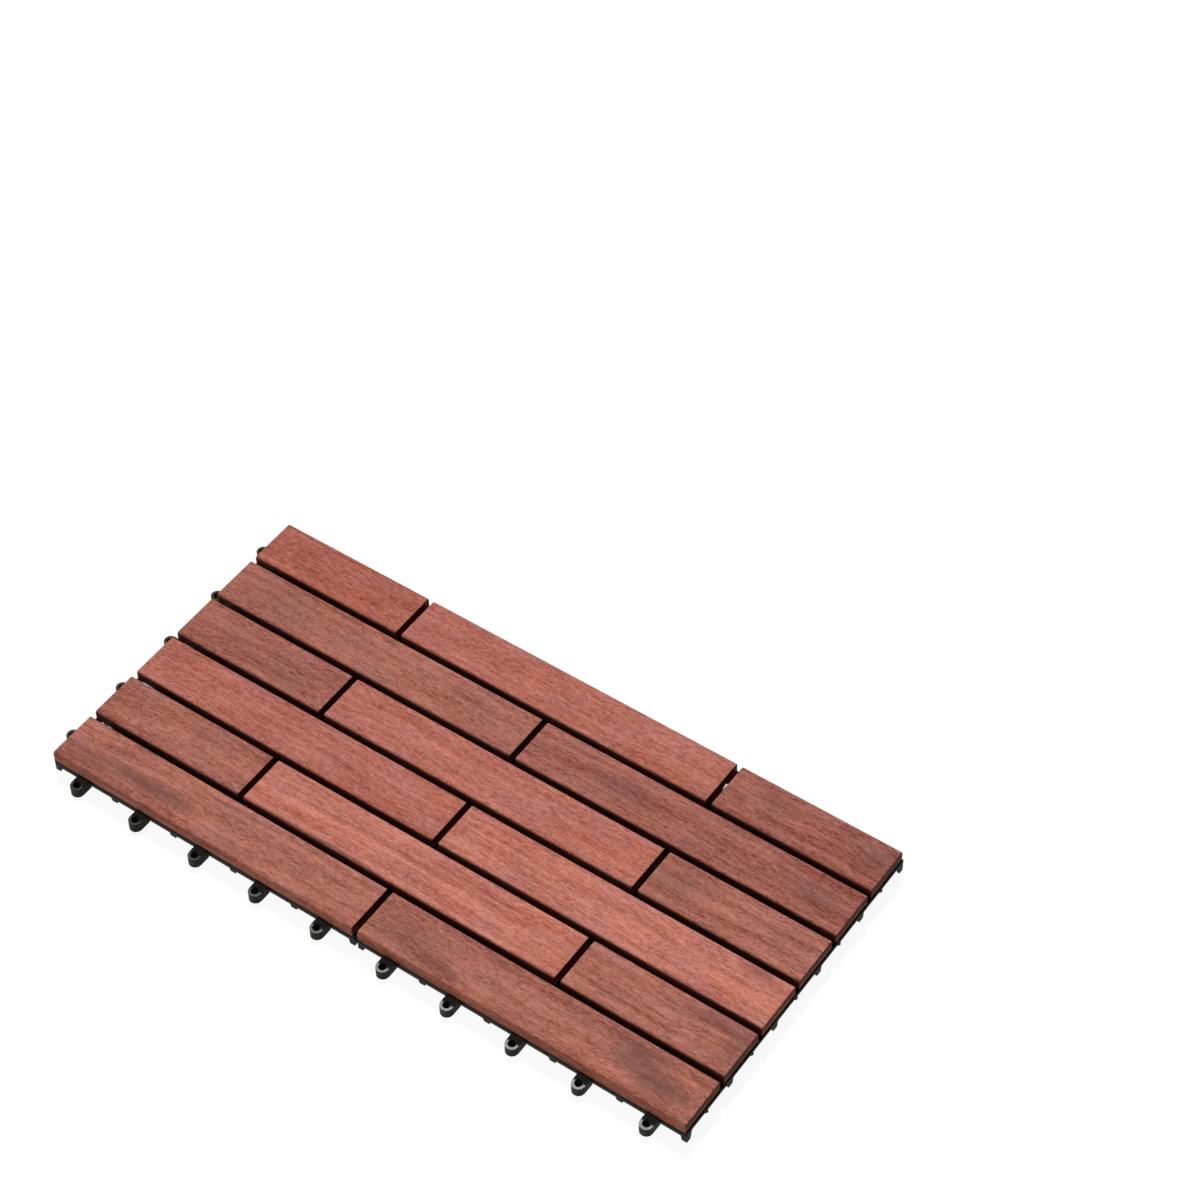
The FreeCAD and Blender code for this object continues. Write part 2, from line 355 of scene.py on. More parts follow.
def slat_tree():
    """A board as a rounded section carried along X, with its ends eased as well."""
    tree, given, out = new_tree("eased_board", {
        "Length": "NodeSocketFloat",
        "Width": "NodeSocketFloat",
        "Thickness": "NodeSocketFloat",
        "Edge Radius": "NodeSocketFloat",
        "Under Radius": "NodeSocketFloat",
        "End Radius": "NodeSocketFloat",
        "Rings": "NodeSocketInt",
        "Edge Steps": "NodeSocketInt",
        "Material": "NodeSocketMaterial",
    })
    half = calc(tree, "MULTIPLY", given["Length"], 0.5)
    line = add(tree, "GeometryNodeCurvePrimitiveLine", {
        "Start": join(tree, X=calc(tree, "MULTIPLY", half, -1.0)), "End": join(tree, X=half),
    }).outputs[0]
    rings = add(tree, "GeometryNodeResampleCurve", {"Curve": line, "Count": given["Rings"]}).outputs[0]

    # Crowd the rings towards both ends: x becomes half * sin(90 degrees * x / half)
    x = split(tree, add(tree, "GeometryNodeInputPosition").outputs[0])["X"]
    angle = calc(tree, "MULTIPLY", calc(tree, "DIVIDE", x, half), math.pi / 2)
    crowded = calc(tree, "MULTIPLY", calc(tree, "SINE", angle), half)
    spine = add(tree, "GeometryNodeSetPosition", {
        "Geometry": rings, "Position": join(tree, X=crowded),
    }).outputs[0]

    # Along a line that runs in +X, the section's own Y points down
    outline = add(tree, "GeometryNodeCurvePrimitiveQuadrilateral",
                  {"Width": given["Width"], "Height": given["Thickness"]}, mode="RECTANGLE").outputs[0]
    corner = split(tree, add(tree, "GeometryNodeInputPosition").outputs[0])
    radius = add(tree, "GeometryNodeSwitch", {
        "Switch": calc(tree, "GREATER_THAN", corner["Y"], 0.0),
        "False": given["Edge Radius"],
        "True": given["Under Radius"],
    }, input_type="FLOAT").outputs[0]
    rounded = add(tree, "GeometryNodeFilletCurve", {
        "Curve": outline, "Radius": radius, "Count": given["Edge Steps"], "Limit Radius": True,
    }, mode="POLY").outputs[0]
    board = add(tree, "GeometryNodeCurveToMesh", {
        "Curve": spine, "Profile Curve": rounded, "Fill Caps": True,
    }).outputs[0]

    # Ease the ends: the section shrinks by a quarter round over the last End Radius of length
    at = split(tree, add(tree, "GeometryNodeInputPosition").outputs[0])
    left = calc(tree, "SUBTRACT", half, calc(tree, "ABSOLUTE", at["X"]))
    ratio = calc(tree, "DIVIDE", left, given["End Radius"])
    near = calc(tree, "SUBTRACT", 1.0, ratio, use_clamp=True)
    root = calc(tree, "SQRT", calc(tree, "SUBTRACT", 1.0, calc(tree, "POWER", near, 2.0)))
    inset = calc(tree, "MULTIPLY", calc(tree, "SUBTRACT", 1.0, root), given["End Radius"])
    sides = {}
    for axis, size in (("Y", "Width"), ("Z", "Thickness")):
        share = calc(tree, "DIVIDE", inset, given[size])
        keep = calc(tree, "SUBTRACT", 1.0, calc(tree, "MULTIPLY", share, 2.0))
        sides[axis] = calc(tree, "MULTIPLY", at[axis], keep)
    eased = add(tree, "GeometryNodeSetPosition", {
        "Geometry": board, "Position": join(tree, X=at["X"], **sides),
    }).outputs[0]
    coat(tree, eased, given["Material"], out)
    return tree


def hardwood(name, box, settings, seed):
    """Oiled reddish hardwood, planed: straight fine grain with dark open pores and soft purple
    smudges. The oil has dried nearly matt, a little glossier on the light fibres."""
    shade, tone_left, tone_right, streak = SLAT_LOOKS[name]
    dark, light = SHADES[shade]
    low, high = box
    material, tree = new_material("oiled_hardwood_" + name)
    coords = add(tree, "ShaderNodeTexCoord").outputs["Object"]
    at = split(tree, coords)
    moved = add(tree, "ShaderNodeMapping", {
        "Vector": coords,
        "Location": tuple(step * seed for step in GRAIN_STEP),
        "Rotation": (0.0, 0.0, math.radians(TURN_MOST * math.sin(TURN_STEP * seed))),
    }).outputs[0]

    # The fibres wander a few millimetres over a hand's length
    sway = calc(tree, "MULTIPLY", noise(tree, moved, WANDER_WAVES, detail=1.0), settings.grain_wander)
    grain = add(tree, "ShaderNodeVectorMath", {
        0: moved, 1: join(tree, Y=sway, Z=sway),
    }, operation="ADD").outputs[0]

    def stretched(place, length, width, detail=2.0, roughness=0.5):
        """Noise whose patches are about this long along the slat and this wide across it."""
        scaled = add(tree, "ShaderNodeMapping", {
            "Vector": place, "Scale": (1 / length, 1 / width, 1 / width),
        }).outputs[0]
        return noise(tree, scaled, 1.0, detail, roughness)

    # The tone runs from dark grain at 0 to light grain at 1; every layer swings it about the middle
    fibres = stretched(grain, settings.fibre_length, settings.fibre_width, detail=3.0, roughness=0.7)
    layers = (
        (stretched(grain, settings.figure_length, settings.figure_width), FIGURE_GAIN),
        (stretched(grain, settings.band_length, settings.band_width), BAND_GAIN * streak),
        (fibres, FIBRE_GAIN),
        (stretched(moved, settings.curl_length, settings.curl_width, roughness=0.6), CURL_GAIN),
    )
    middle = 0.5 + settings.tone_shift - sum(gain for layer, gain in layers) / 2
    tone = remap(tree, at["X"], low.x, high.x, middle + tone_left, middle + tone_right)
    for layer, gain in layers:
        tone = calc(tree, "MULTIPLY_ADD", layer, gain, tone)
    open_grain = stretched(grain, settings.pore_length, settings.pore_width, detail=1.0)
    pores = remap(tree, open_grain, *PORE_RANGE, PORE_DEPTH, 0.0)
    tone = calc(tree, "SUBTRACT", tone, pores)
    colour = mix(tree, tone, linear(dark), linear(light))

    # The heartwood drifts between a cooler and a warmer red over a few centimetres
    drift = remap(tree, stretched(moved, settings.drift_length, settings.drift_width), *DRIFT_RANGE)
    cast = mix(tree, drift, linear(settings.cool_cast_hex), linear(settings.warm_cast_hex))
    colour = mix(tree, 1.0, colour, cast, "MULTIPLY")

    ragged = stretched(grain, *SMUDGE_NOISE, detail=3.0, roughness=0.6)
    for slat, x, y, length, width, strength in SMUDGES:
        if slat != name:
            continue
        spot = add(tree, "ShaderNodeMapping", {
            "Vector": coords,
            "Location": (low.x + x * MM, low.y + y * MM, 0.0),
            "Scale": (length * MM / 2, width * MM / 2, 1.0),
        }, vector_type="TEXTURE").outputs[0]
        flat = add(tree, "ShaderNodeVectorMath", {
            0: spot, 1: (1.0, 1.0, 0.0),
        }, operation="MULTIPLY").outputs[0]
        away = add(tree, "ShaderNodeVectorMath", {0: flat}, operation="LENGTH").outputs["Value"]
        away = calc(tree, "MULTIPLY_ADD", ragged, SMUDGE_RAGGED, away)
        stain = remap(tree, away, *SMUDGE_FADE, strength, 0.0)
        colour = mix(tree, stain, colour, linear(settings.smudge_colour_hex))

    # Sawn ends are drawn darkest, most of all at the top: partly the end grain drinking the most oil,
    # partly painted shade. The sides in the gaps carry a painted shade, darker lower down, and only the
    # front of the last row is free of it
    facing = split(tree, add(tree, "ShaderNodeNewGeometry").outputs["Normal"])
    flank = remap(tree, facing["Z"], *SIDE_FACING, 1.0, 0.0)
    sideways = calc(tree, "ABSOLUTE", facing["X"])
    in_gap = calc(tree, "MULTIPLY", remap(tree, sideways, *END_FACING, 1.0, 0.0), flank)
    if name in FRONT_SLATS:
        in_gap = calc(tree, "MULTIPLY", in_gap, remap(tree, facing["Y"], *FRONT_FACING))
    darkest_at = high.z - settings.gap_shade_depth
    gap_shade = remap(tree, at["Z"], darkest_at, high.z, settings.gap_low, settings.gap_high)
    end_oil_and_shade = mix(tree, remap(tree, at["Z"], low.z, darkest_at),
                   linear(settings.end_foot_oil_and_shade_hex), linear(settings.end_oil_and_shade_hex))
    for amount, tint in ((flank, linear(settings.side_tint_hex)),
                         (remap(tree, sideways, *END_FACING), end_oil_and_shade),
                         (in_gap, gap_shade)):
        colour = mix(tree, amount, colour, tint, "MULTIPLY")

    rough = remap(tree, fibres, *NOISE_RANGE,
                  settings.roughness + GLOSS_SWING, settings.roughness - GLOSS_SWING)
    relief = calc(tree, "SUBTRACT", fibres, pores)
    bump = add(tree, "ShaderNodeBump", {
        "Height": relief, "Strength": 0.35, "Distance": 0.15 * MM,
    }).outputs[0]
    shader = add(tree, "ShaderNodeBsdfPrincipled", {
        "Base Color": colour, "Roughness": rough, "Normal": bump, "IOR": 1.47, "Specular IOR Level": 0.1,
    })
    add(tree, "ShaderNodeOutputMaterial", {"Surface": shader.outputs[0]})
    return material


def moulded_plastic(settings):
    """Black recycled polypropylene, injection moulded. The loops, feet and lower rim are drawn paler than
    the bare plastic, a painted reflection, with paler scuffs at random. Close under the slats it is
    painted black, a painted shade, and the level lands are painted a paler grey highlight, while their
    smoothness catches the light."""
    material, tree = new_material("moulded_black_polypropylene")
    coords = add(tree, "ShaderNodeTexCoord").outputs["Object"]
    scuffs = remap(tree, noise(tree, coords, 1 / settings.scuff_size), *NOISE_RANGE)
    height = split(tree, coords)["Z"]
    # Below the painted shade height the walls are drawn paler, a painted reflection with scuffs in it;
    # above it the plastic is painted black, a painted shade close under the slats
    scuffs_and_sheen = remap(tree, height, settings.painted_shade_height - PAINTED_SHADE_FADE, settings.painted_shade_height, 1.0, 0.0)
    up = split(tree, add(tree, "ShaderNodeNewGeometry").outputs["Normal"])["Z"]
    low = calc(tree, "LESS_THAN", height, settings.land_height)
    land = calc(tree, "MULTIPLY", remap(tree, up, *LAND_FACING), low)
    scuffs_and_sheen = calc(tree, "MAXIMUM", scuffs_and_sheen, land)
    walls = mix(tree, scuffs, linear(settings.dark_hex), linear(settings.light_hex))
    # The level lands are drawn a paler grey: a painted highlight
    colour = mix(tree, land, walls, linear(settings.land_highlight_hex))
    colour = mix(tree, scuffs_and_sheen, linear(settings.painted_shade_hex), colour)
    rough = remap(tree, land, 0.0, 1.0, settings.roughness, settings.land_roughness)
    bump = add(tree, "ShaderNodeBump", {
        "Height": noise(tree, coords, 1 / settings.grit), "Strength": 0.15, "Distance": 0.015 * MM,
    }).outputs[0]
    shader = add(tree, "ShaderNodeBsdfPrincipled", {
        "Base Color": colour, "Roughness": rough, "Normal": bump, "IOR": 1.49, "Specular IOR Level": 0.035,
    })
    add(tree, "ShaderNodeOutputMaterial", {"Surface": shader.outputs[0]})
    return material


def zinc_plate():
    """Bright zinc on steel screws, tumbled in the drum: a pale metal with a brushed haze."""
    material, tree = new_material("zinc_plated_steel")
    coords = add(tree, "ShaderNodeTexCoord").outputs["Object"]
    haze = noise(tree, coords, 1 / ZINC_HAZE, detail=3.0)
    shader = add(tree, "ShaderNodeBsdfPrincipled", {
        "Base Color": mix(tree, haze, linear(ZINC_DULL), linear(ZINC_BRIGHT)),
        "Roughness": remap(tree, haze, 0.0, 1.0, *ZINC_ROUGHNESS),
        "Metallic": 1.0,
    })
    add(tree, "ShaderNodeOutputMaterial", {"Surface": shader.outputs[0]})
    return material


def screw_centres():
    """Where the screws stand, from the lowest ring of points of each one."""
    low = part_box(SCREWS)[0].z
    centres = []
    for vertex in frame["nodes"][SCREWS].data.vertices:
        if vertex.co.z > low + RING_HEIGHT:
            continue
        for ring in centres:
            if (ring[0] - vertex.co).length < RING_SPAN:
                ring.append(vertex.co.copy())
                break
        else:
            centres.append([vertex.co.copy()])
    return [sum(ring, Vector()) / len(ring) for ring in centres]


def screw_tree():
    """A pan headed wood screw pointing up, stood on every given point: head with a cross recess,
    shank and thread."""
    tree, given, out = new_tree("deck_screws", {
        "Geometry": "NodeSocketGeometry",
        "Head Radius": "NodeSocketFloat",
        "Head Height": "NodeSocketFloat",
        "Shank Radius": "NodeSocketFloat",
        "Length": "NodeSocketFloat",
        "Thread Depth": "NodeSocketFloat",
        "Thread Turns": "NodeSocketFloat",
        "Recess Width": "NodeSocketFloat",
        "Recess Depth": "NodeSocketFloat",
        "Material": "NodeSocketMaterial",
    })

    # The head: a low drum whose lower rim is drawn in, with a cross cut into it
    drum = add(tree, "GeometryNodeMeshCone", {
        "Vertices": HEAD_SIDES, "Side Segments": 2, "Fill Segments": 1,
        "Radius Top": given["Head Radius"],
        "Radius Bottom": calc(tree, "MULTIPLY", given["Head Radius"], HEAD_RIM),
        "Depth": given["Head Height"],
    }).outputs["Mesh"]
    span = calc(tree, "MULTIPLY", given["Head Radius"], RECESS_SPAN)
    deep = calc(tree, "MULTIPLY", given["Recess Depth"], 2.0)
    cut = add(tree, "GeometryNodeMeshBoolean", {"Mesh 1": drum}, operation="DIFFERENCE")
    for x, y in ((span, given["Recess Width"]), (given["Recess Width"], span)):
        blade = add(tree, "GeometryNodeMeshCube", {"Size": join(tree, X=x, Y=y, Z=deep)})
        tree.links.new(blade.outputs["Mesh"], cut.inputs["Mesh 2"])

    core = calc(tree, "SUBTRACT", given["Shank Radius"], given["Thread Depth"])
    shank = add(tree, "GeometryNodeMeshCone", {
        "Vertices": SHANK_SIDES, "Fill Segments": 1,
        "Radius Top": calc(tree, "MULTIPLY", given["Shank Radius"], SHANK_TIP),
        "Radius Bottom": core,
        "Depth": given["Length"],
    }).outputs["Mesh"]
    helix = add(tree, "GeometryNodeCurveSpiral", {
        "Resolution": THREAD_STEPS, "Rotations": given["Thread Turns"],
        "Start Radius": core,
        "End Radius": calc(tree, "MULTIPLY", given["Shank Radius"], THREAD_TIP),
        "Height": calc(tree, "MULTIPLY", given["Length"], THREAD_SHARE),
    }).outputs[0]
    ridge = add(tree, "GeometryNodeCurvePrimitiveCircle", {
        "Resolution": THREAD_SIDES, "Radius": given["Thread Depth"],
    }, mode="RADIUS").outputs["Curve"]
    thread = add(tree, "GeometryNodeTransform", {
        "Geometry": add(tree, "GeometryNodeCurveToMesh", {
            "Curve": helix, "Profile Curve": ridge, "Fill Caps": True,
        }).outputs[0],
        "Translation": join(tree, Z=calc(tree, "MULTIPLY", given["Length"], THREAD_START)),
    }).outputs[0]

    whole = add(tree, "GeometryNodeJoinGeometry")
    for part in (cut.outputs["Mesh"], shank, thread):
        tree.links.new(part, whole.inputs[0])
    turn = add(tree, "FunctionNodeRandomValue", {
        "Min": (0.0, 0.0, 0.0), "Max": (0.0, 0.0, math.pi), "Seed": TURN_SEED,
    }, data_type="FLOAT_VECTOR").outputs["Value"]
    stood = add(tree, "GeometryNodeInstanceOnPoints", {
        "Points": given["Geometry"], "Instance": whole.outputs[0], "Rotation": turn,
    }).outputs[0]
    coat(tree, stood, given["Material"], out)
    return tree


def pale_floor(settings, low, high):
    """Matt floor that the camera sees as white, with the shade under the tile painted on it."""
    material, tree = new_material("pale_matt_floor")
    spot = split(tree, add(tree, "ShaderNodeTexCoord").outputs["Object"])

    # The glow leaves only a faint shadow, so the shade under the tile is a painted dark patch. It
    # ends inside the tile's outline, with a soft edge
    open_floor = 0.0
    for axis, first, last, inset in (("X", low.x, high.x, settings.shade_inset_x),
                                     ("Y", low.y, high.y, settings.shade_inset_y)):
        middle = (first + inset[0] + last - inset[1]) / 2
        reach = last - inset[1] - middle
        away = calc(tree, "ABSOLUTE", calc(tree, "SUBTRACT", spot[axis], middle))
        past = remap(tree, away, reach - settings.shade_blur, reach)
        open_floor = calc(tree, "MAXIMUM", open_floor, past)

    # The floor in the hole of each loop is painted dark as well. The search starts at 1 m, which is
    # farther than any hole's shade reaches
    flat = join(tree, X=spot["X"], Y=spot["Y"])
    nearest = 1.0
    for opening in frame["record"]["physics"]["openings"]:
        if "_loop_" in opening["name"]:
            middle = (Vector(opening["box_m"][0]) + Vector(opening["box_m"][1])) / 2
            away = add(tree, "ShaderNodeVectorMath", {
                0: flat, 1: (middle.x, middle.y, 0.0),
            }, operation="DISTANCE").outputs["Value"]
            nearest = calc(tree, "MINIMUM", away, nearest)
    clear = calc(tree, "GREATER_THAN", nearest, settings.hole_shade)
    open_floor = calc(tree, "MULTIPLY", open_floor, clear)

    path = add(tree, "ShaderNodeLightPath").outputs
    seen = calc(tree, "MAXIMUM", path["Is Camera Ray"], path["Is Glossy Ray"])
    seen = calc(tree, "MAXIMUM", seen, path["Is Transmission Ray"])
    seen = calc(tree, "MULTIPLY", seen, open_floor)
    ground = mix(tree, open_floor, linear(FLOOR_SHADED), linear(FLOOR_OPEN))
    plain = add(tree, "ShaderNodeBsdfDiffuse", {"Color": ground}).outputs[0]
    faint = add(tree, "ShaderNodeBsdfDiffuse", {"Color": FLOOR_FAINT}).outputs[0]
    glow = add(tree, "ShaderNodeEmission", {"Color": WHITE, "Strength": FLOOR_GLOW}).outputs[0]
    white = add(tree, "ShaderNodeAddShader", {0: faint, 1: glow}).outputs[0]
    mixed = add(tree, "ShaderNodeMixShader", {0: seen, 1: plain, 2: white}).outputs[0]
    add(tree, "ShaderNodeOutputMaterial", {"Surface": mixed})
    return material


def soft_sky(settings):
    """Even light, stronger from the left than from the right, before a white background."""
    world = bpy.data.worlds.new("soft_sky")
    world.use_nodes = True
    tree = world.node_tree
    tree.nodes.clear()
    side = split(tree, add(tree, "ShaderNodeTexCoord").outputs["Generated"])["X"]
    even = remap(tree, side, -1.0, 1.0, settings.sky_left, settings.sky_right)
    sky = add(tree, "ShaderNodeBackground", {"Color": WHITE, "Strength": even}).outputs[0]
    white = add(tree, "ShaderNodeBackground", {"Color": WHITE, "Strength": 1.0}).outputs[0]
    seen = add(tree, "ShaderNodeLightPath").outputs["Is Camera Ray"]
    mixed = add(tree, "ShaderNodeMixShader", {0: seen, 1: sky, 2: white}).outputs[0]
    add(tree, "ShaderNodeOutputWorld", {"Surface": mixed})
    return world


def photo_camera():
    """The camera that took the photograph."""
    lens = bpy.data.cameras.new("photo_camera")
    lens.lens = CAMERA_LENS
    lens.sensor_width = CAMERA_SENSOR
    lens.clip_end = CAMERA_REACH
    camera = bpy.data.objects.new("photo_camera", lens)
    turn = math.radians(CAMERA_AZIMUTH)
    tilt = math.radians(CAMERA_ELEVATION)
    forward = Vector((math.sin(turn) * math.cos(tilt), math.cos(turn) * math.cos(tilt), -math.sin(tilt)))
    level = forward.to_track_quat("-Z", "Y").to_matrix()
    roll = Matrix.Rotation(math.radians(CAMERA_ROLL), 3, "Z")
    camera.matrix_world = Matrix.Translation(CAMERA_PLACE) @ (level @ roll).to_4x4()
    return camera


class SlatSettings(bpy.types.PropertyGroup):
    """Sizes and colours of the boards."""
    edge_radius: bpy.props.FloatProperty(
        name="Edge radius", description="Rounding of the long edges", default=2.2 * MM, unit="LENGTH")
    under_radius: bpy.props.FloatProperty(
        name="Under radius", description="Rounding of the lower edges, which are left nearly square",
        default=0.3 * MM, unit="LENGTH")
    end_radius: bpy.props.FloatProperty(
        name="End radius", description="Rounding of the sawn ends", default=0.6 * MM, unit="LENGTH")
    figure_length: bpy.props.FloatProperty(
        name="Figure length", description="Length of the broad soft patches", default=55 * MM,
        unit="LENGTH")
    figure_width: bpy.props.FloatProperty(
        name="Figure width", description="Width of the broad soft patches", default=14 * MM, unit="LENGTH")
    curl_length: bpy.props.FloatProperty(
        name="Curl length", description="Size along the slat of the small ripples", default=2.2 * MM,
        unit="LENGTH")
    curl_width: bpy.props.FloatProperty(
        name="Curl width", description="Size across the slat of the small ripples", default=1.6 * MM,
        unit="LENGTH")
    band_length: bpy.props.FloatProperty(
        name="Band length", description="Length of the growth bands", default=240 * MM, unit="LENGTH")
    band_width: bpy.props.FloatProperty(
        name="Band width", description="Width of the growth bands", default=4.5 * MM, unit="LENGTH")
    fibre_length: bpy.props.FloatProperty(
        name="Fibre length", description="Length of the fine streaks", default=7 * MM, unit="LENGTH")
    fibre_width: bpy.props.FloatProperty(
        name="Fibre width", description="Real fibres are finer; drawn this coarse so that they show",
        default=1.1 * MM, unit="LENGTH")
    pore_length: bpy.props.FloatProperty(
        name="Pore length", description="Length of the open pores", default=3 * MM, unit="LENGTH")
    pore_width: bpy.props.FloatProperty(
        name="Pore width", description="Pores are about 0.3 mm wide; drawn wider so that they show",
        default=0.7 * MM, unit="LENGTH")
    grain_wander: bpy.props.FloatProperty(
        name="Grain wander", description="How far the grain strays sideways", default=14 * MM,
        unit="LENGTH")
    tone_shift: bpy.props.FloatProperty(
        name="Tone", description="Lightens or darkens every slat", default=0.0)
    roughness: bpy.props.FloatProperty(
        name="Roughness", description="Gloss of the oiled top", default=0.62, subtype="FACTOR")
    smudge_colour_hex: bpy.props.StringProperty(
        name="Smudge colour", description="Colour of the mineral smudges", default="#6e4640")
    side_tint_hex: bpy.props.StringProperty(
        name="Side tint", description="Multiplies the sawn sides", default="#f4f0e0")
    # The sawn ends are darkened partly for the oil their end grain drinks, partly as painted shade
    end_oil_and_shade_hex: bpy.props.StringProperty(
        name="End tint", description="Multiplies the sawn ends near the top", default="#7c662f")
    end_foot_oil_and_shade_hex: bpy.props.StringProperty(
        name="End tint, low", description="Multiplies the sawn ends at the foot", default="#eaf6e4")
    # The painted shade on the slats' sides in the gaps: how far below the top it is darkest, and its tone
    # at the top and at its darkest
    gap_shade_depth: bpy.props.FloatProperty(
        name="Gap shade depth", description="How far below the top a gap is at its darkest", default=3 * MM,
        unit="LENGTH")
    gap_high: bpy.props.FloatProperty(
        name="Gap tone, high", description="Tone of a gap's sides at the top", default=0.45,
        subtype="FACTOR")
    gap_low: bpy.props.FloatProperty(
        name="Gap tone, low", description="Tone of a gap's sides at the darkest", default=0.18,
        subtype="FACTOR")
    drift_length: bpy.props.FloatProperty(
        name="Drift length", description="Length of the cooler and warmer patches", default=42 * MM,
        unit="LENGTH")
    drift_width: bpy.props.FloatProperty(
        name="Drift width", description="Width of the cooler and warmer patches", default=15 * MM,
        unit="LENGTH")
    cool_cast_hex: bpy.props.StringProperty(
        name="Cool cast", description="Multiplies the cooler patches", default="#f7f7ff")
    warm_cast_hex: bpy.props.StringProperty(
        name="Warm cast", description="Multiplies the warmer patches", default="#fff7ef")


class GridSettings(bpy.types.PropertyGroup):
    """Finish of the plastic grids, with the painted reflection, highlight and shade on them."""
    edge_radius: bpy.props.FloatProperty(
        name="Edge radius", description="Rounding of the moulded edges", default=0.3 * MM, unit="LENGTH")
    grit: bpy.props.FloatProperty(
        name="Grit", description="Size of the mould texture", default=0.35 * MM, unit="LENGTH")
    roughness: bpy.props.FloatProperty(
        name="Roughness", description="Gloss of the walls", default=0.5, subtype="FACTOR")
    land_roughness: bpy.props.FloatProperty(
        name="Land roughness", description="Gloss of the level lands", default=0.16, subtype="FACTOR")
    scuff_size: bpy.props.FloatProperty(
        name="Scuff size", description="Size of the paler scuffs", default=1.8 * MM, unit="LENGTH")
    # Below this height the walls carry the painted reflection, above it the painted shade
    painted_shade_height: bpy.props.FloatProperty(
        name="Painted shade height", description="Height up to which dust greys the walls", default=8.6 * MM,
        unit="LENGTH")
    land_height: bpy.props.FloatProperty(
        name="Land height", description="Height just above the rubbed lands", default=9.3 * MM,
        unit="LENGTH")
    # The lower walls' two tones, paler than the bare plastic: a painted reflection, with scuffs between
    # them
    dark_hex: bpy.props.StringProperty(
        name="Dark tone", description="Plastic below the dust height, between scuffs", default="#262724")
    light_hex: bpy.props.StringProperty(
        name="Light tone", description="Paler scuffs", default="#4b4c46")
    # Painted highlight on the level lands of the loops
    land_highlight_hex: bpy.props.StringProperty(
        name="Land tone", description="Rubbed level lands of the loops", default="#40413d")
    # Painted shade: the plastic close under the slats is drawn this black
    painted_shade_hex: bpy.props.StringProperty(
        name="Painted shade tone", description="Clean plastic close under the slats", default="#060606")


class ScrewSettings(bpy.types.PropertyGroup):
    """Sizes of the screws."""
    head_radius: bpy.props.FloatProperty(
        name="Head radius", description="Half the width of the head", default=2.6 * MM, unit="LENGTH")
    head_height: bpy.props.FloatProperty(
        name="Head height", description="Height of the head", default=1.4 * MM, unit="LENGTH")
    shank_radius: bpy.props.FloatProperty(
        name="Shank radius", description="Half the width over the thread", default=1.2 * MM, unit="LENGTH")
    thread_depth: bpy.props.FloatProperty(
        name="Thread depth", description="How far the thread stands out", default=0.3 * MM, unit="LENGTH")
    thread_turns: bpy.props.FloatProperty(
        name="Thread turns", description="Turns of the thread", default=7.0)
    recess_width: bpy.props.FloatProperty(
        name="Recess width", description="Width of the cross recess", default=0.8 * MM, unit="LENGTH")
    recess_depth: bpy.props.FloatProperty(
        name="Recess depth", description="Depth of the cross recess", default=0.7 * MM, unit="LENGTH")


class StageSettings(bpy.types.PropertyGroup):
    """Floor and light."""
    floor_size: bpy.props.FloatProperty(
        name="Floor size", description="Side of the floor", default=9.0, unit="LENGTH")
    shade_inset_x: bpy.props.FloatVectorProperty(
        name="Shade inset along X", size=2, default=(14 * MM, 6 * MM), unit="LENGTH",
        description="How far inside the tile's left and right side the painted shade ends")
    shade_inset_y: bpy.props.FloatVectorProperty(
        name="Shade inset along Y", size=2, default=(20 * MM, 6 * MM), unit="LENGTH",
        description="How far inside the tile's front and back side the painted shade ends")
    shade_blur: bpy.props.FloatProperty(
        name="Shade blur", description="Width over which the shade under the tile fades in", default=8 * MM,
        unit="LENGTH")
    hole_shade: bpy.props.FloatProperty(
        name="Hole shade", description="Radius of the painted shade under each loop", default=4 * MM,
        unit="LENGTH")
    key_power: bpy.props.FloatProperty(
        name="Key light", description="Strength of the high soft light", default=2.5)
    fill_power: bpy.props.FloatProperty(
        name="Fill light", description="Strength of the low light on the front edge", default=0.55)
    sky_left: bpy.props.FloatProperty(
        name="Sky on the left", description="Strength of the even light from the left", default=0.38)
    sky_right: bpy.props.FloatProperty(
        name="Sky on the right", description="Strength of the even light from the right", default=0.06)


class DECKTILE_OT_slats(bpy.types.Operator):
    """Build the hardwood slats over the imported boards"""
    bl_idname = "decktile.slats"
    bl_label = "Build slats"

    def execute(self, context):
        settings = context.scene.decktile_slats
        tree = slat_tree()
        for seed, name in enumerate(SLATS, 1):
            low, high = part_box(name)
            size = high - low
            piece = grow(tree, name.replace("slat", "board"), {
                "Length": size.x,
                "Width": size.y,
                "Thickness": size.z,
                "Edge Radius": settings.edge_radius,
                "Under Radius": settings.under_radius,
                "End Radius": settings.end_radius,
                "Rings": BOARD_RINGS,
                "Edge Steps": EDGE_STEPS,
                "Material": hardwood(name, (low, high), settings, seed),
            })
            piece.data.transform(Matrix.Translation((low + high) / 2))
            settle(piece)
            dress(piece, "hardwood", name)
        return {"FINISHED"}


class DECKTILE_OT_grids(bpy.types.Operator):
    """Round the moulded edges of both plastic grids"""
    bl_idname = "decktile.grids"
    bl_label = "Build grids"

    def execute(self, context):
        settings = context.scene.decktile_grids
        plastic = moulded_plastic(settings)
        for name in GRIDS:
            mesh = frame["nodes"][name].data.copy()
            shape = bmesh.new()
            shape.from_mesh(mesh)
            bmesh.ops.remove_doubles(shape, verts=shape.verts, dist=WELD)
            bmesh.ops.dissolve_limit(shape, angle_limit=LEVEL_ANGLE, verts=shape.verts, edges=shape.edges)
            shape.to_mesh(mesh)
            shape.free()
            piece = bpy.data.objects.new(name.replace("base_grid", "moulded_grid"), mesh)
            bpy.context.scene.collection.objects.link(piece)
            mesh.materials.clear()
            mesh.materials.append(plastic)
            bevel = piece.modifiers.new("edges", "BEVEL")
            bevel.width = settings.edge_radius
            bevel.segments = BEVEL_STEPS
            bevel.limit_method = "ANGLE"
            bevel.angle_limit = BEVEL_ANGLE
            settle(piece)
            dress(piece, "grid_plastic", name)
        return {"FINISHED"}


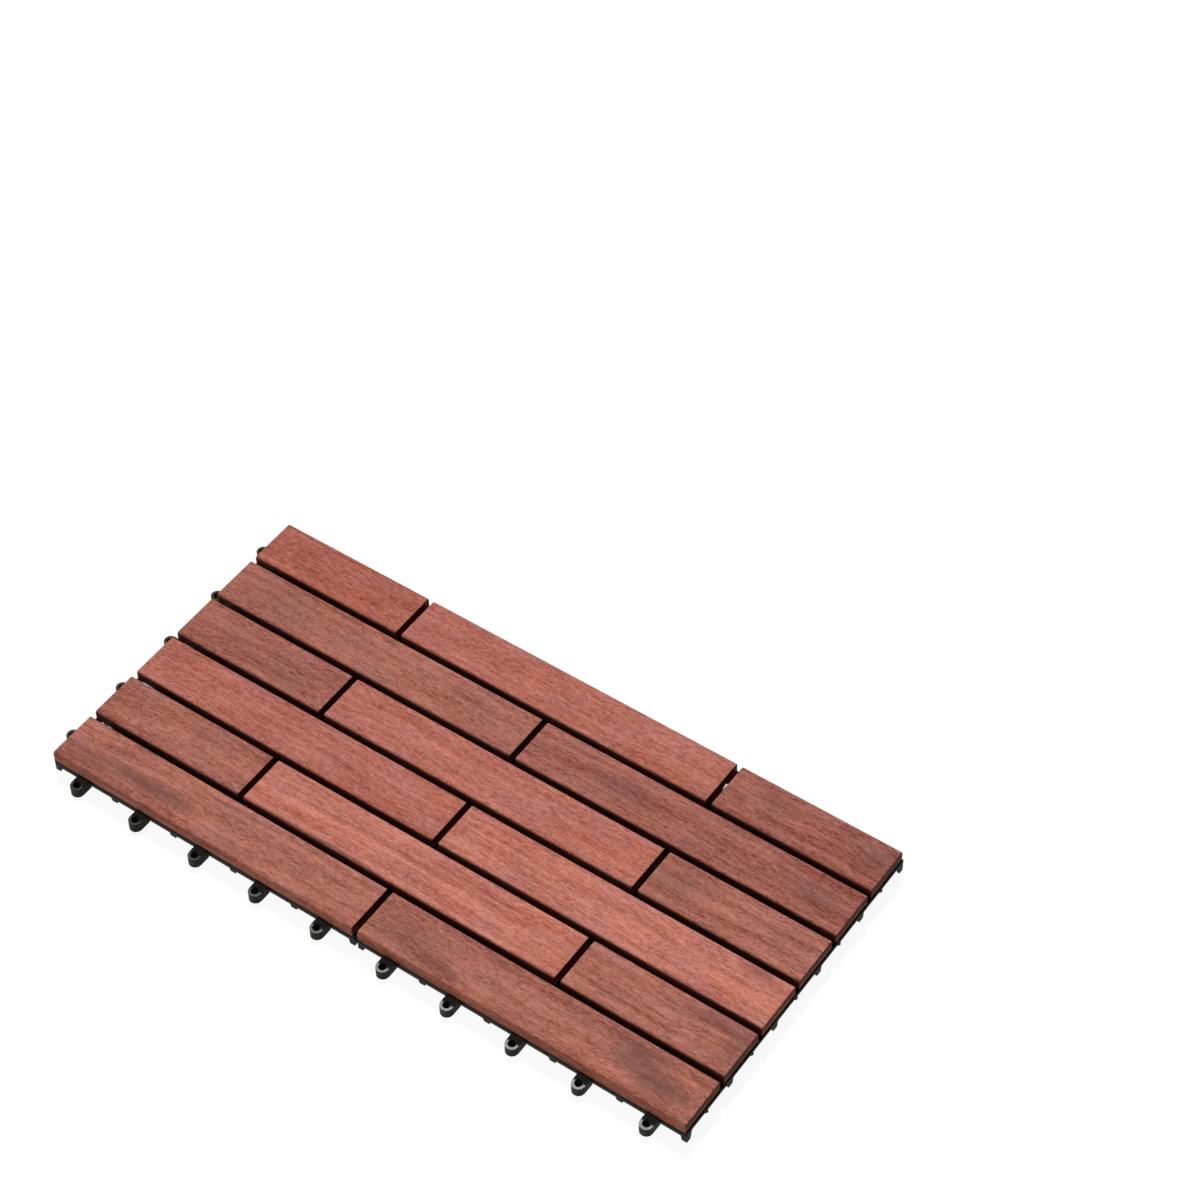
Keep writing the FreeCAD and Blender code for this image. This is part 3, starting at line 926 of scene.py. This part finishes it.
class DECKTILE_OT_screws(bpy.types.Operator):
    """Build the screws that hold the slats from below"""
    bl_idname = "decktile.screws"
    bl_label = "Build screws"

    def execute(self, context):
        settings = context.scene.decktile_screws
        low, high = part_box(SCREWS)
        points = bpy.data.meshes.new("screw_points")
        points.from_pydata(screw_centres(), [], [])
        piece = grow(screw_tree(), "zinc_screws", {
            "Head Radius": settings.head_radius,
            "Head Height": settings.head_height,
            "Shank Radius": settings.shank_radius,
            "Length": high.z - low.z,
            "Thread Depth": settings.thread_depth,
            "Thread Turns": settings.thread_turns,
            "Recess Width": settings.recess_width,
            "Recess Depth": settings.recess_depth,
            "Material": zinc_plate(),
        }, points)
        piece.data.shade_smooth()
        piece.data.set_sharp_from_angle(angle=SHARP_ANGLE)
        dress(piece, "screw_steel", SCREWS)
        return {"FINISHED"}


class DECKTILE_OT_stage(bpy.types.Operator):
    """Lay the floor, set the lights and place the camera"""
    bl_idname = "decktile.stage"
    bl_label = "Set the stage"

    def execute(self, context):
        settings = context.scene.decktile_stage
        scene = context.scene
        scene.view_settings.view_transform = "Standard"

        low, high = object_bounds()
        half = settings.floor_size / 2
        mesh = bpy.data.meshes.new("floor")
        mesh.from_pydata([(-half, -half, 0), (half, -half, 0), (half, half, 0), (-half, half, 0)],
                         [], [(0, 1, 2, 3)])
        mesh.materials.append(pale_floor(settings, low, high))
        floor = bpy.data.objects.new("floor", mesh)
        scene.collection.objects.link(floor)
        floor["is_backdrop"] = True
        scene.world = soft_sky(settings)

        for name, power, width, side in (("key", settings.key_power, KEY_WIDTH, KEY_SIDE),
                                         ("fill", settings.fill_power, FILL_WIDTH, FILL_SIDE)):
            sun = bpy.data.lights.new(name, "SUN")
            sun.energy = power
            sun.angle = math.radians(width)
            lamp = bpy.data.objects.new(name, sun)
            lamp.rotation_euler = Vector(side).to_track_quat("Z", "Y").to_euler()
            scene.collection.objects.link(lamp)

        camera = photo_camera()
        scene.collection.objects.link(camera)
        scene.camera = camera
        return {"FINISHED"}


class DECKTILE_PT_panel(bpy.types.Panel):
    """Sizes, colours and the steps that build the tile's looks"""
    bl_idname = "DECKTILE_PT_panel"
    bl_label = "Deck Tile"
    bl_space_type = "VIEW_3D"
    bl_region_type = "UI"
    bl_category = "Deck Tile"

    def draw(self, context):
        for title, group, operator in PANEL_ROWS:
            box = self.layout.box()
            box.label(text=title)
            settings = getattr(context.scene, group)
            for name in settings.__annotations__:
                box.prop(settings, name)
            box.operator(operator)


PANEL_ROWS = (
    ("Slats", "decktile_slats", "decktile.slats"),
    ("Grids", "decktile_grids", "decktile.grids"),
    ("Screws", "decktile_screws", "decktile.screws"),
    ("Stage", "decktile_stage", "decktile.stage"),
)

GROUPS = {
    "decktile_slats": SlatSettings,
    "decktile_grids": GridSettings,
    "decktile_screws": ScrewSettings,
    "decktile_stage": StageSettings,
}

CLASSES = (*GROUPS.values(), DECKTILE_OT_slats, DECKTILE_OT_grids, DECKTILE_OT_screws, DECKTILE_OT_stage,
           DECKTILE_PT_panel)


def register():
    for kind in CLASSES:
        bpy.utils.register_class(kind)
    for name, kind in GROUPS.items():
        setattr(bpy.types.Scene, name, bpy.props.PointerProperty(type=kind))


def unregister():
    for name in GROUPS:
        delattr(bpy.types.Scene, name)
    for kind in reversed(CLASSES):
        bpy.utils.unregister_class(kind)


def main():
    register()
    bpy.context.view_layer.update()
    bpy.ops.decktile.slats()
    bpy.ops.decktile.grids()
    bpy.ops.decktile.screws()
    bpy.ops.decktile.stage()


if __name__ == "__main__":
    main()
